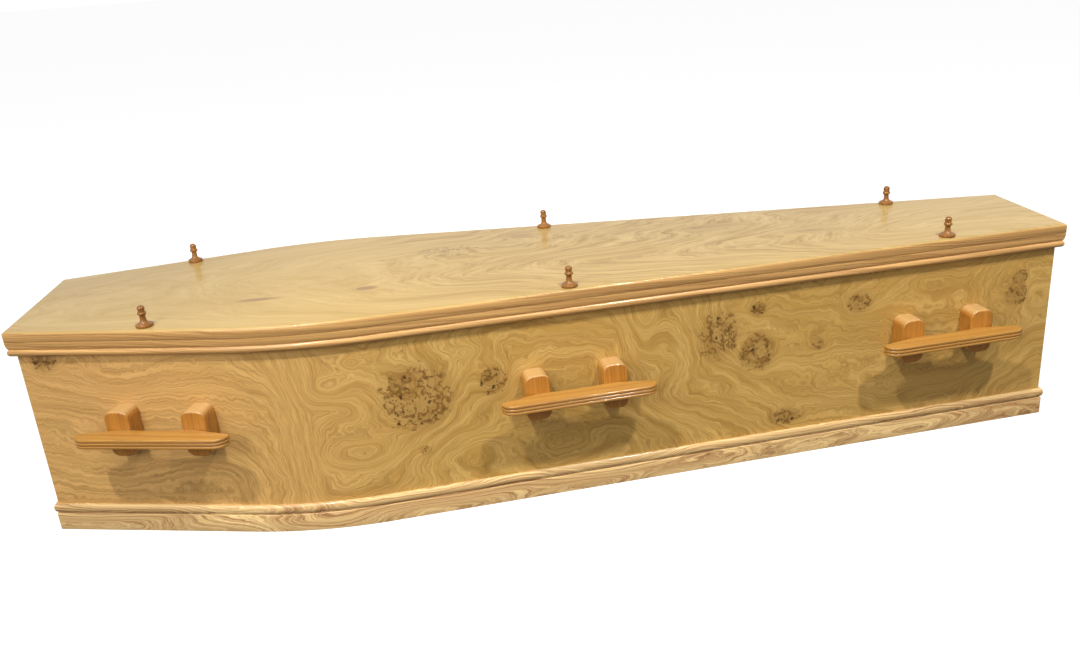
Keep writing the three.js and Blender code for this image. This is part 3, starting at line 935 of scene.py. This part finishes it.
def block_rings():
    """The block's front view, a rectangle with round corners, at rising reach from the board. A
    quarter circle of reach and inset eases the front edge."""
    quarter = arc((BLOCK_DEPTH - BLOCK_EDGE, 0.0), (BLOCK_EDGE, BLOCK_EDGE), 90, 0, 8)
    levels = [(FIT_GAP, 0.0)] + [(reach, BLOCK_EDGE - rest) for reach, rest in quarter]
    rings = []
    for reach, inset in levels:
        view = round_rectangle(BLOCK_WIDTH, BLOCK_HEIGHT, BLOCK_CORNER_RADIUS, inset)
        rings.append(np.column_stack([view[:, 0], np.full(len(view), reach), view[:, 1]]))
    return np.stack(rings)


# Each bar and block is cut from its own place in the plank, so that no two have the same grain
NEXT_BAR, BACK_BARS, NEXT_BLOCK = 0.31, 0.9, np.array([0.0, 0.013, 0.37])
bar, block = bar_rings(), block_rings()
for side in ("front", "back"):
    for number, (place, x) in enumerate(HANDLE_STATIONS.items()):
        leaf = np.array([NEXT_BAR * number + (BACK_BARS if side == "back" else 0.0), 0.0, 0.0])
        piece = ring_mesh(f"reeded_bar_{side}_{place}", put_on_panel(bar, side, x), bar + leaf)
        stand_for(piece, f"handle_bar_{side}_{place}", BAR_OAK)
        for way, sign in (("headward", -1), ("footward", 1)):
            rings = put_on_panel(block, side, x, sign * BLOCK_SPACING / 2)
            leaf = leaf + NEXT_BLOCK
            piece = ring_mesh(f"rounded_block_{side}_{place}_{way}", rings, block + leaf)
            stand_for(piece, f"handle_block_{side}_{place}_{way}", BLOCK_OAK)
print("bar points:", bar[..., 0].size, "block points:", block[..., 0].size)

# %% [markdown]
# Finials. They are turned on a lathe, so a surface of revolution is exactly right: one profile of
# radius and height, turned about its own axis. The profile is a foot disc, a hollow bell, a slim
# neck, a collar and a domed cap.

# %% Finials
FINIAL_SIDES = 40
FINIAL_PROFILE = np.vstack([
    arc((0.0134, 0.0008), (0.0008, 0.0008), -90, 0, 2),
    arc((0.0128, 0.0037), (0.0014, 0.0013), 0, 90, 4),
    [[0.0112, 0.0054], [0.0108, 0.0062]],
    arc((0.0108, 0.0140), (0.0058, 0.0078), 270, 200, 9),
    [[0.0049, 0.0150], [0.0048, 0.0180], [0.0050, 0.0202]],
    arc((0.0056, 0.0233), (0.0020, 0.0025), -90, 90, 8),
    [[0.0055, 0.0268], [0.0058, 0.0295], [0.0062, 0.0318]],
    arc((0.0, 0.0320), (0.0063, 0.0049), 0, 84, 8),
])


def finial_rings(centre):
    """Each ring is one height of the profile: centre + radius * (cos, sin) of an even turn.
    Gives the rings in place, and the same rings about their own axis for the grain."""
    angle = np.linspace(0, 2 * math.pi, FINIAL_SIDES, endpoint=False)
    radius, height = FINIAL_PROFILE[:, :1], FINIAL_PROFILE[:, 1:]
    local = np.stack([radius * np.cos(angle), radius * np.sin(angle),
                      np.broadcast_to(height, (len(height), FINIAL_SIDES))], -1)
    return local + centre, local


finials = sorted(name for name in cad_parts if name.startswith("finial_"))
for node in finials:
    low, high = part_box(node)
    foot = np.array([(low.x + high.x) / 2, (low.y + high.y) / 2, low.z])
    rings, local = finial_rings(foot)
    piece = ring_mesh(f"turned_{node}", rings, local + np.array([foot[1], foot[0], foot[0]]))
    stand_for(piece, node, FINIAL_OAK)
print("finials:", len(finials), "points in the profile:", len(FINIAL_PROFILE))

# %% [markdown]
# The base board and the two end boards are flat, and their solids are already right, so they
# keep them and only take a finish. The ends carry the same oak veneer without burrs, and the
# base board is bare wood.

# %% Flat boards that keep their solids
FLAT_BEND = 8.0


def flat_oak(name, light, dark, rings_across, contrast, coat):
    """Straight grain: the field is the place dotted with `rings_across`, rings to a metre each
    way, plus slow noise worth FLAT_BEND rings."""
    material, tree, shader = start_material(name)
    place = object_place(tree)
    bend = stretched_noise(tree, place, (3.0, 3.0, 5.0), 2.0)
    rise = vector_formula(tree, "DOT_PRODUCT", place, rings_across)
    field = add_all(tree, [rise, times(tree, bend, FLAT_BEND)])
    lines = use_group(tree, line_group, Field=field, Place=place)
    body = oak_body(tree, lines, light, dark, contrast)
    feed_oak(tree, shader, body, lines, 0.4, 0.55)
    varnish(tree, shader, SOLID_VARNISH_ROUGHNESS, coat)
    press_in(tree, shader, lines["Pores"])
    return material


END_OAK = flat_oak("end_board_veneer", linear(204, 162, 98), linear(158, 117, 60),
                   rings_across=(0.0, 0.0, 40.0), contrast=0.6, coat=0.5)
BASE_BOARD = flat_oak("base_board_oak", linear(205, 170, 116), linear(170, 132, 84),
                      rings_across=(0.0, 45.0, 0.0), contrast=0.6, coat=0.0)
FLAT_FINISHES = {"head_board": END_OAK, "foot_board": END_OAK, "base_board": BASE_BOARD}
for node, material in FLAT_FINISHES.items():
    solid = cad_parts[node]
    solid.data.materials.clear()
    solid.data.materials.append(material)
    print(node, "keeps its solid and takes", material.name)

# %% [markdown]
# The studio. The photograph was lit from above by two room lights, one over each end, and by soft
# light that is stronger towards the head end. The two lamps give the handles their long shadows.
# A long panel behind the coffin is what the varnish of the lid and of the block tops mirrors. A
# second lamp back there stands lower than the lid, so it lights the back side alone. The floor
# shows white to the camera but throws little light back up, so the undersides of the handles
# stay dark.

# %% Floor and world
FLOOR_HALF = 60.0
FLOOR_GLOW, WORLD_LIGHT = 0.86, 0.38
WHITE = (1, 1, 1, 1)


def by_camera_ray(tree, unseen, seen):
    """Light Path's Is Camera Ray picks `seen` for the camera and `unseen` for all other rays."""
    rays = tree.nodes.new("ShaderNodeLightPath")
    choose = tree.nodes.new("ShaderNodeMixShader")
    feed(tree, choose.inputs["Fac"], rays.outputs["Is Camera Ray"])
    feed(tree, choose.inputs[1], unseen)
    feed(tree, choose.inputs[2], seen)
    return choose.outputs["Shader"]


floor_mesh = bpy.data.meshes.new("studio_floor")
corners = [(-FLOOR_HALF, -FLOOR_HALF, 0), (FLOOR_HALF, -FLOOR_HALF, 0),
           (FLOOR_HALF, FLOOR_HALF, 0), (-FLOOR_HALF, FLOOR_HALF, 0)]
floor_mesh.from_pydata(corners, [], [(0, 1, 2, 3)])
floor = bpy.data.objects.new("studio_floor", floor_mesh)
bpy.context.collection.objects.link(floor)
floor_paint, floor_tree, floor_shader = start_material("pale_floor")
feed_all(floor_tree, floor_shader, Base_Color=(0.30, 0.30, 0.30, 1), Roughness=0.9,
         Specular_IOR_Level=0.0, Emission_Color=WHITE, Emission_Strength=FLOOR_GLOW)
dim_floor = floor_tree.nodes.new("ShaderNodeBsdfDiffuse")
feed_all(floor_tree, dim_floor, Color=(0.12, 0.11, 0.10, 1))
floor_out = floor_tree.nodes["Material Output"].inputs["Surface"]
feed(floor_tree, floor_out,
     by_camera_ray(floor_tree, dim_floor.outputs["BSDF"], floor_shader.outputs["BSDF"]))
floor_mesh.materials.append(floor_paint)

world = bpy.data.worlds.new("soft_white")
bpy.context.scene.world = world
world.use_nodes = True
world_tree = world.node_tree
soft = world_tree.nodes["Background"]
feed_all(world_tree, soft, Color=WHITE, Strength=WORLD_LIGHT)
plain_white = world_tree.nodes.new("ShaderNodeBackground")
feed_all(world_tree, plain_white, Color=WHITE, Strength=1.0)
world_out = world_tree.nodes["World Output"].inputs["Surface"]
feed(world_tree, world_out,
     by_camera_ray(world_tree, soft.outputs["Background"], plain_white.outputs["Background"]))
print("floor glow", FLOOR_GLOW, "world light", WORLD_LIGHT)

# %% Lamps
def lamp(name, kind, place, aim, power, size, tall=None, cone=None, blend=1.0):
    """A lamp at a place, turned so that its -Z axis points at the aim: tipped from straight down
    by the arc cosine of the direction's fall, then turned to the direction in plan."""
    data = bpy.data.lights.new(name, kind)
    data.energy = power
    if kind == "AREA":
        data.shape = "RECTANGLE"
        data.size, data.size_y = size, tall or size
    else:
        data.shadow_soft_size = size
    if cone:
        data.spot_size, data.spot_blend = math.radians(cone), blend
    made = bpy.data.objects.new(name, data)
    bpy.context.collection.objects.link(made)
    made.location = place
    made.visible_camera = False
    direction = np.array(aim) - np.array(place)
    turn = math.atan2(direction[1], direction[0])
    tip = math.acos(-direction[2] / np.linalg.norm(direction))
    made.rotation_euler = (tip, 0.0, turn - math.pi / 2)
    print(name, "stands", round(float(np.linalg.norm(direction)), 2), "m from its aim")


ROOM_LIGHT_SIZE = 0.11
lamp("head_room_light", "POINT", place=(-1.39, -2.29, 4.27), aim=(-0.3, -0.2, 0.2), power=500.0,
     size=ROOM_LIGHT_SIZE)
lamp("foot_room_light", "SPOT", place=(1.45, -2.31, 4.16), aim=(0.80, -0.2, 0.2), power=520.0,
     size=ROOM_LIGHT_SIZE, cone=42, blend=0.6)
lamp("head_soft_light", "AREA", place=(-1.70, -2.30, 1.70), aim=(-0.65, -0.25, 0.2), power=36.0,
     size=1.4)
lamp("rear_soft_light", "AREA", place=(0.2, 3.6, 1.6), aim=(0.0, 0.0, 0.4), power=12.0,
     size=8.0, tall=1.6)
lamp("rear_low_light", "AREA", place=(0.0, 2.4, 0.20), aim=(0.0, 0.0, 0.20), power=26.0,
     size=2.6, tall=0.3)

# %% [markdown]
# The camera. Its place, its angles and its lens come from fitting the coffin's edges in the
# photograph, and a small shift of the frame sets the coffin where the photograph has it.

# %% Camera at the photograph's place
CAMERA_PLACE = (-0.1672, -1.8225, 0.9192)
CAMERA_DEGREES = (68.843, 3.979, -6.005)
camera_data = bpy.data.cameras.new("camera")
camera_data.sensor_width = 36.0
camera_data.lens = 33.30
camera_data.shift_x = -0.0030
camera_data.shift_y = 0.0158
camera_data.clip_end = 100.0
camera = bpy.data.objects.new("camera", camera_data)
bpy.context.collection.objects.link(camera)
camera.location = CAMERA_PLACE
camera.rotation_euler = tuple(math.radians(angle) for angle in CAMERA_DEGREES)
bpy.context.scene.camera = camera
bpy.context.scene.view_settings.view_transform = "Standard"
print("camera at", CAMERA_PLACE, "turned by", CAMERA_DEGREES)
